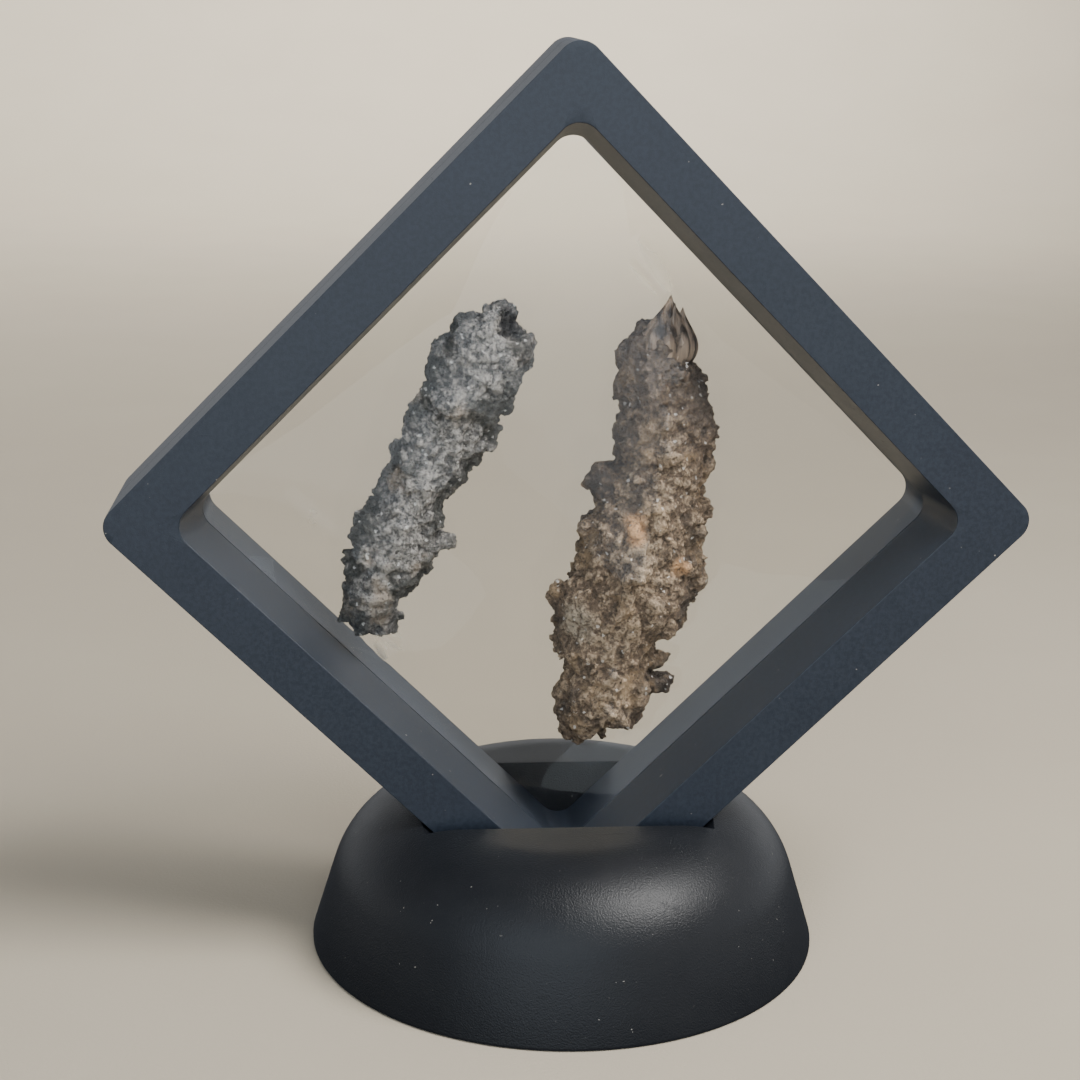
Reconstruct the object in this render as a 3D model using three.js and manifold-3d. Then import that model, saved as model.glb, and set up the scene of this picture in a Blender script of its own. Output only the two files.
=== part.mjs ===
// Two fulgurites held between clear films in a square display frame, which stands on one corner in a round stand.
// Millimetres, +Z up, front towards -Y. The origin is on the table, under the middle of the stand.

import * as THREE from 'three';
import { mergeVertices } from 'three/addons/utils/BufferGeometryUtils.js';
import Module from 'manifold-3d';

// Frame: a square of two half-depth rings that meet on the plane y = 0.
const frameSide = 90;
const frameDepth = 20;
const frameCorner = 3;
const edgeChamfer = 0.5;
const openingSide = 72.8;
const openingCorner = 3;
const frontOpeningSide = 75.9;
const seamGap = 0.2;
const rebateSide = 80;
const rebateCorner = 1;
const rebateDepth = 0.75;
const frameCentreHeight = 64.4;

// Films: one bonded in the rebate of each half, stretched over the specimens.
const filmSide = 79;
const filmThickness = 0.3;
const filmStart = 0.25;
const filmSteps = 20;
const filmClearance = 0.55;
const filmReach = 2.2;

// Stand: a turned body with a V-shaped pocket for the frame's lowest corner.
const standRadius = 36.9;
const standHeight = 21.2;
const flankLean = THREE.MathUtils.degToRad(17.4);
const shoulderRadius = 14.85;
const footEdge = 0.6;
const standSegments = 64;
const pocketGap = 0.4;
const pocketTopWidth = 24.4;
const pocketFloorWidth = 20.9;

// Each fulgurite is a stack of oval sections: height, middle x, half width, half depth.
const greySections = [
  [46.8, -26.6, 1.8, 1.6],
  [49.4, -27.2, 4.6, 3.9],
  [53.0, -26.0, 4.9, 4.4],
  [57.5, -24.4, 6.0, 5.0],
  [61.5, -22.9, 6.4, 5.2],
  [66.0, -21.2, 5.6, 4.9],
  [70.5, -18.5, 6.1, 5.2],
  [75.0, -16.0, 6.0, 5.1],
  [79.5, -13.6, 6.8, 5.5],
  [84.5, -10.8, 7.1, 5.4],
  [89.0, -10.3, 5.5, 4.6],
  [92.6, -8.9, 2.6, 2.6],
];
const brownSections = [
  [29.4, 5.2, 2.4, 2.2],
  [31.5, 4.8, 5.6, 4.6],
  [36.5, 7.2, 8.3, 6.2],
  [41.5, 7.8, 7.4, 6.0],
  [44.3, 5.9, 7.9, 6.1],
  [48.5, 8.0, 9.6, 6.8],
  [54.0, 10.3, 9.9, 7.0],
  [60.0, 11.3, 9.2, 7.0],
  [65.5, 11.9, 8.9, 6.6],
  [70.5, 13.6, 7.6, 6.0],
  [75.5, 14.5, 7.3, 5.7],
  [80.5, 13.0, 6.8, 5.2],
  [85.5, 12.3, 5.0, 3.8],
  [88.5, 13.1, 4.1, 2.6],
  [93.4, 14.9, 0.5, 0.5],
];
const roundSteps = 20;
const lobeDepth = 0.07;
const tubeDent = 2.5;

const wasm = await Module();
wasm.setup();

// A closed geometry as a solid that can be joined and cut.
function solidFrom(geometry) {
  const plain = geometry.index ? geometry.toNonIndexed() : geometry.clone();
  plain.deleteAttribute('normal');
  plain.deleteAttribute('uv');
  const merged = mergeVertices(plain, 1e-4);
  return new wasm.Manifold(new wasm.Mesh({
    numProp: 3,
    vertProperties: new Float32Array(merged.attributes.position.array),
    triVerts: new Uint32Array(merged.index.array),
  }));
}

function geometryFrom(solid) {
  const mesh = solid.getMesh();
  const geometry = new THREE.BufferGeometry();
  geometry.setAttribute('position', new THREE.BufferAttribute(mesh.vertProperties, 3));
  geometry.setIndex(new THREE.BufferAttribute(mesh.triVerts, 1));
  geometry.computeVertexNormals();
  return geometry;
}

function roundedSquare(side, radius) {
  const half = side / 2;
  const flat = half - radius;
  const shape = new THREE.Shape();
  shape.absarc(flat, flat, radius, 0, Math.PI / 2);
  shape.absarc(-flat, flat, radius, Math.PI / 2, Math.PI);
  shape.absarc(-flat, -flat, radius, Math.PI, Math.PI * 1.5);
  shape.absarc(flat, -flat, radius, Math.PI * 1.5, Math.PI * 2);
  shape.closePath();
  return shape;
}

// A rounded square plate that lies in the XZ plane, from y = near to y = far.
function plate(side, radius, near, far, chamfer = 0) {
  const geometry = new THREE.ExtrudeGeometry(roundedSquare(side, radius), {
    depth: far - near - 2 * chamfer,
    curveSegments: 6,
    bevelEnabled: chamfer > 0,
    bevelThickness: chamfer,
    bevelSize: chamfer,
    bevelOffset: -chamfer,
    bevelSegments: 1,
  });
  geometry.translate(0, 0, chamfer - far);
  geometry.rotateX(Math.PI / 2);
  return geometry;
}

// The front half's opening widens from the films to the front face.
function flaredOpening() {
  const past = 1;
  const depth = frameDepth / 2 + past;
  const slope = (frontOpeningSide / openingSide - 1) / (frameDepth / 2);
  const geometry = plate(openingSide, openingCorner, -depth, past);
  const position = geometry.attributes.position;
  for (let i = 0; i < position.count; i += 1) {
    const widen = 1 - slope * position.getY(i);
    position.setX(i, position.getX(i) * widen);
    position.setZ(i, position.getZ(i) * widen);
  }
  return geometry;
}

function frameBody() {
  return solidFrom(plate(frameSide, frameCorner, -frameDepth / 2, frameDepth / 2, edgeChamfer));
}

function frontHalf() {
  const beyond = frameDepth;
  const behind = solidFrom(plate(2 * frameSide, 1, -seamGap / 2, beyond));
  const rebate = solidFrom(plate(rebateSide, rebateCorner, -rebateDepth, beyond));
  const opening = solidFrom(flaredOpening());
  return geometryFrom(frameBody().subtract(behind).subtract(rebate).subtract(opening));
}

function backHalf() {
  const beyond = frameDepth;
  const before = solidFrom(plate(2 * frameSide, 1, -beyond, seamGap / 2));
  const rebate = solidFrom(plate(rebateSide, rebateCorner, -beyond, rebateDepth));
  const opening = solidFrom(plate(openingSide, openingCorner, -beyond, beyond));
  return geometryFrom(frameBody().subtract(before).subtract(rebate).subtract(opening));
}

// Middle x, half width and half depth of a fulgurite at one height, or null above or below it.
function sectionAt(sections, height) {
  for (let i = 1; i < sections.length; i += 1) {
    const low = sections[i - 1];
    const high = sections[i];
    if (height >= low[0] && height <= high[0]) {
      const t = (height - low[0]) / (high[0] - low[0]);
      return [1, 2, 3].map((k) => THREE.MathUtils.lerp(low[k], high[k], t));
    }
  }
  return null;
}

// A fulgurite: a cylinder whose rings take the oval sections, with three soft lobes that turn with height.
function fulgurite(sections, endDent) {
  const rings = 2 * (sections.length - 1);
  const geometry = new THREE.CylinderGeometry(1, 1, 1, roundSteps, rings);
  const position = geometry.attributes.position;
  for (let i = 0; i < position.count; i += 1) {
    const along = (position.getY(i) + 0.5) * (sections.length - 1);
    const step = Math.min(Math.floor(along), sections.length - 2);
    const height = THREE.MathUtils.lerp(sections[step][0], sections[step + 1][0], along - step);
    const [middle, halfWidth, halfDepth] = sectionAt(sections, height);
    const across = position.getX(i);
    const through = position.getZ(i);
    const reach = Math.hypot(across, through);
    const angle = Math.atan2(through, across);
    const lobe = 1 - lobeDepth * (1 + Math.cos(3 * angle + height * 0.3));
    const dent = along > sections.length - 1.01 && reach < 0.5 ? endDent : 0;
    position.setXYZ(i, middle + halfWidth * across * lobe, halfDepth * through * lobe, height - dent);
  }
  geometry.deleteAttribute('normal');
  geometry.deleteAttribute('uv');
  const closed = mergeVertices(geometry, 1e-4);
  closed.index.array.reverse();
  return closed;
}

// How far the specimens stand out from the plane y = 0 at a point, searched over a small reach around it.
function specimenDepth(x, height) {
  let deepest = 0;
  for (let turn = 0; turn < 9; turn += 1) {
    const reach = turn === 8 ? 0 : filmReach;
    const px = x + reach * Math.cos(turn * Math.PI / 4);
    const ph = height + reach * Math.sin(turn * Math.PI / 4);
    for (const sections of [greySections, brownSections]) {
      const section = sectionAt(sections, ph);
      if (section) {
        const [middle, halfWidth, halfDepth] = section;
        const across = (px - middle) / halfWidth;
        if (Math.abs(across) < 1) {
          deepest = Math.max(deepest, halfDepth * Math.sqrt(1 - across * across));
        }
      }
    }
  }
  return deepest;
}

// Grid lines of a film across the frame: the outermost pair lies in the rebate, the rest spans the opening.
function gridLine(i) {
  if (i === 0 || i === filmSteps) {
    return (i === 0 ? -1 : 1) * filmSide / 2;
  }
  return ((i - 1) / (filmSteps - 2) - 0.5) * (openingSide - 0.2);
}

// Height of the stretched film over the plane y = 0: zero at the opening and across its rounded corners,
// never below the specimens, and everywhere else the mean of its neighbours, as a taut skin takes it.
function filmHeights() {
  const turn = Math.PI / 4;
  const floor = [];
  for (let i = 0; i <= filmSteps; i += 1) {
    floor.push([]);
    for (let j = 0; j <= filmSteps; j += 1) {
      const u = gridLine(i);
      const v = gridLine(j);
      const x = u * Math.cos(turn) + v * Math.sin(turn);
      const height = frameCentreHeight - u * Math.sin(turn) + v * Math.cos(turn);
      const depth = specimenDepth(x, height);
      floor[i].push(depth > 0 ? depth + filmClearance : 0);
    }
  }
  const heights = floor.map((row) => row.slice());
  for (let round = 0; round < 400; round += 1) {
    for (let i = 2; i < filmSteps - 1; i += 1) {
      for (let j = 2; j < filmSteps - 1; j += 1) {
        const mean = (heights[i - 1][j] + heights[i + 1][j] + heights[i][j - 1] + heights[i][j + 1]) / 4;
        const inCorner = i % (filmSteps - 4) === 2 && j % (filmSteps - 4) === 2;
        heights[i][j] = inCorner ? 0 : Math.max(floor[i][j], mean);
      }
    }
  }
  return heights;
}

// One film: a thin grid box whose two faces both follow the stretched heights. side is -1 in front, 1 behind.
function film(side) {
  const heights = filmHeights();
  const geometry = new THREE.BoxGeometry(1, 1, 1, filmSteps, 1, filmSteps);
  const position = geometry.attributes.position;
  for (let k = 0; k < position.count; k += 1) {
    const i = Math.round((position.getX(k) + 0.5) * filmSteps);
    const j = Math.round((position.getZ(k) + 0.5) * filmSteps);
    const outer = position.getY(k) * side > 0 ? filmThickness : 0;
    position.setXYZ(k, gridLine(i), side * (filmStart + heights[i][j] + outer), gridLine(j));
  }
  geometry.deleteAttribute('normal');
  geometry.deleteAttribute('uv');
  return mergeVertices(geometry, 1e-4);
}

// The stand's turned body: flat foot, leaning flank, wide round shoulder, flat top.
function standBody() {
  const shoulderHeight = standHeight - shoulderRadius;
  const flankTop = standRadius - shoulderHeight * Math.tan(flankLean);
  const shoulderCentre = flankTop - shoulderRadius / Math.cos(flankLean);
  const shoulder = new THREE.Path();
  shoulder.absarc(shoulderCentre, shoulderHeight, shoulderRadius, flankLean, Math.PI / 2);
  const profile = [
    new THREE.Vector2(0, 0),
    new THREE.Vector2(standRadius - footEdge, 0),
    new THREE.Vector2(standRadius - footEdge * Math.tan(flankLean), footEdge),
    ...shoulder.getPoints(9),
    new THREE.Vector2(0, standHeight),
  ];
  const geometry = new THREE.LatheGeometry(profile, standSegments);
  geometry.rotateX(Math.PI / 2);
  return solidFrom(geometry);
}

// The pocket: the frame's lowest corner with a small gap all round, its two long walls opening upwards.
function pocketCutter() {
  const side = frameSide + 2 * pocketGap;
  const geometry = plate(side, frameCorner + pocketGap, -0.5, 0.5);
  geometry.rotateY(Math.PI / 4);
  geometry.translate(0, 0, frameCentreHeight);
  const position = geometry.attributes.position;
  const floorHeight = frameCentreHeight - side / Math.SQRT2;
  const slope = (pocketTopWidth - pocketFloorWidth) / (standHeight - floorHeight);
  for (let i = 0; i < position.count; i += 1) {
    const width = pocketFloorWidth + slope * (position.getZ(i) - floorHeight);
    position.setY(i, position.getY(i) * width);
  }
  return solidFrom(geometry);
}

function standGeometry() {
  return geometryFrom(standBody().subtract(pocketCutter()));
}

function named(name, geometry, color, roughness, extra = {}) {
  const material = new THREE.MeshStandardMaterial({ color, roughness, metalness: 0, ...extra });
  const mesh = new THREE.Mesh(geometry, material);
  mesh.name = name;
  return mesh;
}

const clear = { transparent: true, opacity: 0.15 };

const frame = new THREE.Group();
frame.position.set(0, 0, frameCentreHeight);
frame.rotation.y = Math.PI / 4;
frame.add(named('front_frame_half', frontHalf(), 0x2b2f36, 0.5));
frame.add(named('back_frame_half', backHalf(), 0x2b2f36, 0.5));
frame.add(named('front_film', film(-1), 0xe6ebee, 0.08, clear));
frame.add(named('back_film', film(1), 0xe6ebee, 0.08, clear));

const group = new THREE.Group();
group.add(named('stand', standGeometry(), 0x1c1d20, 0.5));
group.add(frame);
group.add(named('grey_fulgurite', fulgurite(greySections, tubeDent), 0x9a958c, 0.9));
group.add(named('brown_fulgurite', fulgurite(brownSections, 0), 0x86725a, 0.85));

export default group;
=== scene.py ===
"""Two fulgurites held between clear elastic films in a square display frame, which stands on one corner in a
round stand. Metres, +Z up, front towards -Y, origin on the table under the middle of the stand."""

import math
import random

import bpy
import numpy as np
from mathutils import Euler, Matrix, Vector


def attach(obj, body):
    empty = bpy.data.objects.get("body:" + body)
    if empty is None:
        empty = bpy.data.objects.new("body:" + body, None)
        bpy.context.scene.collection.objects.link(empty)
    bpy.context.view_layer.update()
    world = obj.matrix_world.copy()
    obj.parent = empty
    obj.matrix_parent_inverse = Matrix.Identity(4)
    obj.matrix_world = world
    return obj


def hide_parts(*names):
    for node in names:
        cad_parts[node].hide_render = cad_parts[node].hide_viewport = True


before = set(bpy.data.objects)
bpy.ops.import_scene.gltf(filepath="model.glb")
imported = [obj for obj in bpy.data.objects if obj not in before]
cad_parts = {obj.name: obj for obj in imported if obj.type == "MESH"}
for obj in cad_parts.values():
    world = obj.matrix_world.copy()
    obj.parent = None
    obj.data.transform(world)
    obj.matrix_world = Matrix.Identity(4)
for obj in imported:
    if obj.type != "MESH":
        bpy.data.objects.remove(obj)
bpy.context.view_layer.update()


# ----------------------------------------------------------------------------------------------------------
# Camera. It looks down a little at the frame from close by, just left of its middle.
# ----------------------------------------------------------------------------------------------------------
MM = 0.001
CAMERA_PLACE = Vector((-22.65, -260.9, 131.9)) * MM
CAMERA_TURN = math.radians(-4.16)
CAMERA_TILT = math.radians(72.31)
CAMERA_ROLL = math.radians(0.63)
SENSOR_WIDTH = 36.0
LENS = 64.7
SHIFT_UP = 0.07
NEAREST_SEEN = 10 * MM

lens = bpy.data.cameras.new("camera")
lens.sensor_width = SENSOR_WIDTH
lens.lens = LENS
lens.shift_y = SHIFT_UP
lens.clip_start = NEAREST_SEEN
camera = bpy.data.objects.new("camera", lens)
bpy.context.collection.objects.link(camera)
aim = Euler((CAMERA_TILT, 0.0, CAMERA_TURN)).to_matrix() @ Matrix.Rotation(CAMERA_ROLL, 3, "Z")
camera.matrix_world = Matrix.Translation(CAMERA_PLACE) @ aim.to_4x4()
bpy.context.scene.camera = camera


# ----------------------------------------------------------------------------------------------------------
# Studio: a pale paper floor that curves up far away all round, soft lights from the upper right, from the
# front and over the backdrop, and a surround that is pale at the sides and dim overhead and below.
# ----------------------------------------------------------------------------------------------------------
FLOOR_RADIUS = 0.9
FLOOR_SIDES = 96
COVE_RADIUS = 0.5
COVE_STEPS = 12
COVE_RISE = math.radians(80)
PAPER = (0.60, 0.53, 0.415, 1.0)
PAPER_SHADE = (0.56, 0.49, 0.38, 1.0)
SURROUND_RIGHT = (0.98, 1.0, 1.03, 1.0)
SURROUND_LEFT = (0.72, 0.74, 0.77, 1.0)
SURROUND_BELOW = (0.055, 0.06, 0.07, 1.0)
SURROUND_OVERHEAD = (0.24, 0.24, 0.25, 1.0)
WINDOW_BLUE = (0.40, 0.44, 0.50, 1.0)
WINDOW_TOWARDS = Vector((-0.45, -0.85, 0.27)).normalized()
SURROUND_STRENGTH = 1.0


class Wire:
    """A shader socket that takes part in sums, so that a mask or a height is written as an expression."""

    def __init__(self, tree, socket):
        self.tree = tree
        self.socket = socket

    def node(self, kind, settings, inputs, output=0):
        made = self.tree.nodes.new(kind)
        for name, value in settings.items():
            setattr(made, name, value)
        for name, value in inputs.items():
            if isinstance(value, Wire):
                self.tree.links.new(value.socket, made.inputs[name])
            else:
                made.inputs[name].default_value = value
        return Wire(self.tree, made.outputs[output])

    def maths(self, operation, other, swapped=False):
        pair = (other, self) if swapped else (self, other)
        return self.node("ShaderNodeMath", {"operation": operation}, {0: pair[0], 1: pair[1]})

    def __add__(self, other):
        return self.maths("ADD", other)

    def __radd__(self, other):
        return self.maths("ADD", other)

    def __sub__(self, other):
        return self.maths("SUBTRACT", other)

    def __rsub__(self, other):
        return self.maths("SUBTRACT", other, swapped=True)

    def __mul__(self, other):
        return self.maths("MULTIPLY", other)

    def __rmul__(self, other):
        return self.maths("MULTIPLY", other)


def finish_with(name, **uniform):
    """A new material with its uniform sockets set: the material, its shader and its coordinates."""
    material = bpy.data.materials.new(name)
    material.use_nodes = True
    shader = material.node_tree.nodes["Principled BSDF"]
    for socket, value in uniform.items():
        shader.inputs[socket.replace("_", " ")].default_value = value
    place = material.node_tree.nodes.new("ShaderNodeTexCoord")
    return material, shader, Wire(material.node_tree, place.outputs["Object"])


def noise(place, scale, detail=2.0, roughness=0.5, stretch=None):
    """Cloudy noise, scale in waves per metre, optionally stretched along the axes."""
    if stretch:
        place = place.node("ShaderNodeMapping", {}, {"Vector": place, "Scale": stretch})
    return place.node("ShaderNodeTexNoise", {},
                      {"Vector": place, "Scale": scale, "Detail": detail, "Roughness": roughness})


def between(value, low, high):
    """A soft step: 0 below low, 1 above high."""
    return value.node("ShaderNodeMapRange", {"interpolation_type": "SMOOTHSTEP"},
                      {"Value": value, "From Min": low, "From Max": high})


def blend(factor, first, second):
    """The first colour where the factor is 0 and the second where it is 1."""
    return factor.node("ShaderNodeMix", {"data_type": "RGBA"}, {0: factor, 6: first, 7: second}, output=2)


def bump(height, distance, strength=1.0, under=None):
    """A bumped normal from a height, over another bump if one lies under it."""
    inputs = {"Height": height, "Distance": distance, "Strength": strength}
    if under:
        inputs["Normal"] = under
    return height.node("ShaderNodeBump", {}, inputs)


def feed(shader, **wires):
    """Links each wire to the shader's socket of the same name."""
    for socket, wire in wires.items():
        wire.tree.links.new(wire.socket, shader.inputs[socket.replace("_", " ")])


bpy.ops.object.select_all(action="DESELECT")
bpy.ops.mesh.primitive_circle_add(vertices=FLOOR_SIDES, radius=FLOOR_RADIUS, fill_type="NGON")
floor = bpy.context.object
floor.name = "floor"
bpy.ops.object.mode_set(mode="EDIT")
bpy.ops.mesh.select_mode(type="EDGE")
bpy.ops.mesh.select_all(action="SELECT")
last_radius = FLOOR_RADIUS
last_height = 0.0
for step in range(1, COVE_STEPS + 1):
    rise = COVE_RISE * step / COVE_STEPS
    radius = FLOOR_RADIUS + COVE_RADIUS * math.sin(rise)
    height = COVE_RADIUS * (1 - math.cos(rise))
    bpy.ops.mesh.extrude_edges_move(TRANSFORM_OT_translate={"value": (0.0, 0.0, height - last_height)})
    growth = radius / last_radius
    bpy.ops.transform.resize(value=(growth, growth, 1.0), center_override=(0.0, 0.0, height))
    last_radius = radius
    last_height = height
bpy.ops.object.mode_set(mode="OBJECT")
bpy.ops.object.shade_smooth()
floor.visible_glossy = False
paper, shader, place = finish_with("paper", Roughness=0.85, Specular_IOR_Level=0.25)
feed(shader, Base_Color=blend(noise(place, 22.0, 3.0), PAPER, PAPER_SHADE),
     Normal=bump(noise(place, 1800.0, 3.0, 0.6), 0.00006))
floor.data.materials.append(paper)

world = bpy.data.worlds.new("surround")
world.use_nodes = True
background = world.node_tree.nodes["Background"]
background.inputs["Strength"].default_value = SURROUND_STRENGTH
direction = Wire(world.node_tree, world.node_tree.nodes.new("ShaderNodeTexCoord").outputs["Generated"])
rightward = direction.node("ShaderNodeSeparateXYZ", {}, {"Vector": direction}, "X")
upward = direction.node("ShaderNodeSeparateXYZ", {}, {"Vector": direction}, "Z")
towards = {0: direction, 1: WINDOW_TOWARDS}
facing = direction.node("ShaderNodeVectorMath", {"operation": "DOT_PRODUCT"}, towards, "Value")
sky = blend(between(rightward, -0.35, 0.25), SURROUND_LEFT, SURROUND_RIGHT)
sky = blend(between(upward, -0.24, 0.04), SURROUND_BELOW, sky)
sky = blend(between(upward, 0.12, 0.50), sky, SURROUND_OVERHEAD)
sky = blend(between(facing, 0.50, 0.85) * between(upward, -0.14, 0.12), sky, WINDOW_BLUE)
world.node_tree.links.new(sky.socket, background.inputs["Color"])
bpy.context.scene.world = world


def soft_light(name, place, aim_at, width, power, colour, spread=180):
    """A square area light, unseen by the camera, that faces the point it is aimed at."""
    lamp = bpy.data.lights.new(name, "AREA")
    lamp.shape = "SQUARE"
    lamp.size = width
    lamp.energy = power
    lamp.color = colour
    lamp.spread = math.radians(spread)
    light = bpy.data.objects.new(name, lamp)
    light.location = place
    light.rotation_euler = (Vector(aim_at) - Vector(place)).to_track_quat("-Z", "Y").to_euler()
    light.visible_camera = False
    bpy.context.collection.objects.link(light)


soft_light("window", (0.30, -0.16, 0.52), (0.0, 0.0, 0.05), 0.30, 4.6, (1.0, 0.985, 0.96))
soft_light("room", (-0.16, -0.70, 0.30), (-0.03, 0.0, 0.09), 0.8, 2.9, (0.80, 0.90, 1.0))
soft_light("backdrop", (0.40, 1.00, 0.95), (-0.35, 1.35, 0.0), 0.6, 11.0, (1.0, 0.99, 0.97), spread=112)


# ----------------------------------------------------------------------------------------------------------
# Stand: one moulding in fine-grained satin black plastic, shaped like an upturned bowl. A tapered pocket in
# its top takes the frame's lowest corner, and the pocket's mouth is rounded over.
# ----------------------------------------------------------------------------------------------------------
STAND_RADIUS = 36.9 * MM
STAND_HEIGHT = 21.2 * MM
FLANK_LEAN = math.radians(17.4)
SHOULDER_RADIUS = 14.85 * MM
FOOT_EDGE = 0.6 * MM
STAND_SIDES = 192
SHOULDER_STEPS = 20
CORNER_STEPS = 8
FRAME_SIDE = 90 * MM
FRAME_CENTRE = 64.4 * MM
FRAME_CORNER = 3.0 * MM
ONTO_CORNER = math.pi / 4
POCKET_GAP = 0.4 * MM
POCKET_TOP_WIDTH = 24.4 * MM
POCKET_FLOOR_WIDTH = 20.9 * MM
POCKET_EDGE = 0.35 * MM
EDGE_STEPS = 4
NEARLY_ZERO = 1e-6
STAND_BLACK = (0.0070, 0.0082, 0.0108, 1.0)
STAND_WORN = (0.0130, 0.0145, 0.0175, 1.0)
DUST = (0.30, 0.29, 0.27, 1.0)


def in_edit_mode(piece):
    """Opens one piece, and nothing else, in edit mode."""
    bpy.ops.object.select_all(action="DESELECT")
    piece.select_set(True)
    bpy.context.view_layer.objects.active = piece
    bpy.ops.object.mode_set(mode="EDIT")


def set_aside(piece):
    """Leaves edit mode with the piece deselected."""
    bpy.ops.object.mode_set(mode="OBJECT")
    piece.select_set(False)


def select_edges(piece, wanted):
    """Selects, in edit mode, the edges whose two ends pass the test."""
    bpy.ops.object.mode_set(mode="OBJECT")
    for group in (piece.data.vertices, piece.data.edges, piece.data.polygons):
        group.foreach_set("select", np.zeros(len(group), dtype=bool))
    for edge in piece.data.edges:
        ends = [piece.data.vertices[i].co for i in edge.vertices]
        edge.select = wanted(*ends)
    bpy.ops.object.mode_set(mode="EDIT")
    bpy.ops.mesh.select_mode(type="EDGE")


def modify(piece, kind, **settings):
    """Adds a modifier and applies it at once."""
    modifier = piece.modifiers.new(kind.lower(), kind)
    for name, value in settings.items():
        setattr(modifier, name, value)
    bpy.ops.object.select_all(action="DESELECT")
    piece.select_set(True)
    bpy.context.view_layer.objects.active = piece
    bpy.ops.object.modifier_apply(modifier=modifier.name)


def stand_profile():
    """Radius and height from the foot up to the flat top."""
    shoulder_height = STAND_HEIGHT - SHOULDER_RADIUS
    flank_top = STAND_RADIUS - shoulder_height * math.tan(FLANK_LEAN)
    centre = flank_top - SHOULDER_RADIUS / math.cos(FLANK_LEAN)
    steps = [(STAND_RADIUS - FOOT_EDGE * 0.3, FOOT_EDGE * 0.3),
             (STAND_RADIUS - FOOT_EDGE * math.tan(FLANK_LEAN), FOOT_EDGE)]
    for k in range(SHOULDER_STEPS + 1):
        angle = FLANK_LEAN + (math.pi / 2 - FLANK_LEAN) * k / SHOULDER_STEPS
        steps.append((centre + SHOULDER_RADIUS * math.cos(angle),
                      shoulder_height + SHOULDER_RADIUS * math.sin(angle)))
    return steps


bpy.ops.object.select_all(action="DESELECT")
bpy.ops.mesh.primitive_circle_add(vertices=STAND_SIDES, radius=STAND_RADIUS - FOOT_EDGE, fill_type="NGON")
stand = bpy.context.object
stand.name = "satin_stand"
in_edit_mode(stand)
bpy.ops.mesh.select_all(action="SELECT")
last_radius = STAND_RADIUS - FOOT_EDGE
last_height = 0.0
for radius, height in stand_profile():
    bpy.ops.mesh.extrude_region_move(TRANSFORM_OT_translate={"value": (0.0, 0.0, height - last_height)})
    growth = radius / last_radius
    bpy.ops.transform.resize(value=(growth, growth, 1.0), center_override=(0.0, 0.0, height))
    last_radius = radius
    last_height = height
bpy.ops.mesh.select_all(action="SELECT")
bpy.ops.mesh.normals_make_consistent(inside=False)
set_aside(stand)

bpy.ops.mesh.primitive_cube_add(size=1.0, rotation=(0.0, ONTO_CORNER, 0.0))
cutter = bpy.context.object
cutter.scale = (FRAME_SIDE + 2 * POCKET_GAP, 1.0, FRAME_SIDE + 2 * POCKET_GAP)
bpy.ops.object.transform_apply(location=True, rotation=True, scale=True)
in_edit_mode(cutter)
select_edges(cutter, lambda a, b: abs(a.x - b.x) < NEARLY_ZERO and abs(a.z - b.z) < NEARLY_ZERO
             and a.z < -FRAME_SIDE / 2)
bpy.ops.mesh.bevel(offset=FRAME_CORNER + POCKET_GAP, segments=CORNER_STEPS, affect="EDGES")
set_aside(cutter)
pocket_floor = FRAME_CENTRE - (FRAME_SIDE + 2 * POCKET_GAP) / math.sqrt(2)
for point in cutter.data.vertices:
    point.co.z += FRAME_CENTRE
    rise = (point.co.z - pocket_floor) / (STAND_HEIGHT - pocket_floor)
    point.co.y *= POCKET_FLOOR_WIDTH + (POCKET_TOP_WIDTH - POCKET_FLOOR_WIDTH) * rise
modify(stand, "BOOLEAN", operation="DIFFERENCE", object=cutter, solver="EXACT")
bpy.data.objects.remove(cutter)
modify(stand, "BEVEL", width=POCKET_EDGE, segments=EDGE_STEPS, limit_method="ANGLE",
       angle_limit=math.radians(35))
bpy.ops.object.shade_smooth_by_angle(angle=math.radians(30))

satin, shader, place = finish_with("satin_black_plastic", IOR=1.5, Specular_IOR_Level=0.35)
grain = noise(place, 4200.0, 2.0, 0.6)
mottle = noise(place, 160.0, 4.0, 0.6)
specks = between(noise(place, 1900.0, 1.0, 0.4), 0.775, 0.81) * between(noise(place, 60.0, 2.0), 0.42, 0.60)
scratches = between(noise(place, 70.0, 3.0, 0.55, stretch=(1.0, 9.0, 1.4)), 0.685, 0.71)
hairs = between(noise(place, 55.0, 2.0, 0.5, stretch=(12.0, 1.0, 1.0)), 0.70, 0.72)
feed(shader,
     Base_Color=blend(specks, blend(mottle, STAND_BLACK, STAND_WORN), DUST),
     Roughness=0.31 + 0.10 * mottle + 0.10 * scratches + 0.3 * specks,
     Normal=bump(scratches + hairs, 0.00002, 0.35, under=bump(grain, 0.00007, 0.8)))
stand.data.materials.append(satin)
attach(stand, "root")
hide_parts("stand")


# ----------------------------------------------------------------------------------------------------------
# Frame: two square rings in blue-black satin plastic, each half as deep as the frame, that meet on a fine
# seam. The front ring's opening widens towards the front. Both stand on one corner in the stand's pocket.
# ----------------------------------------------------------------------------------------------------------
HALF_DEPTH = 10 * MM
SEAM_GAP = 0.14 * MM
OPENING_SIDE = 72.8 * MM
FRONT_OPENING_SIDE = 75.9 * MM
OPENING_CORNER = 3.0 * MM
FRAME_CORNER_STEPS = 12
OPENING_CORNER_STEPS = 10
ROUNDED_EDGE = 0.45 * MM
SEAM_EDGE = 0.10 * MM
SEAM_EDGE_STEPS = 2
FRAME_BLUE = (0.0145, 0.0205, 0.0315, 1.0)
FRAME_WORN = (0.0300, 0.0405, 0.0590, 1.0)


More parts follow.
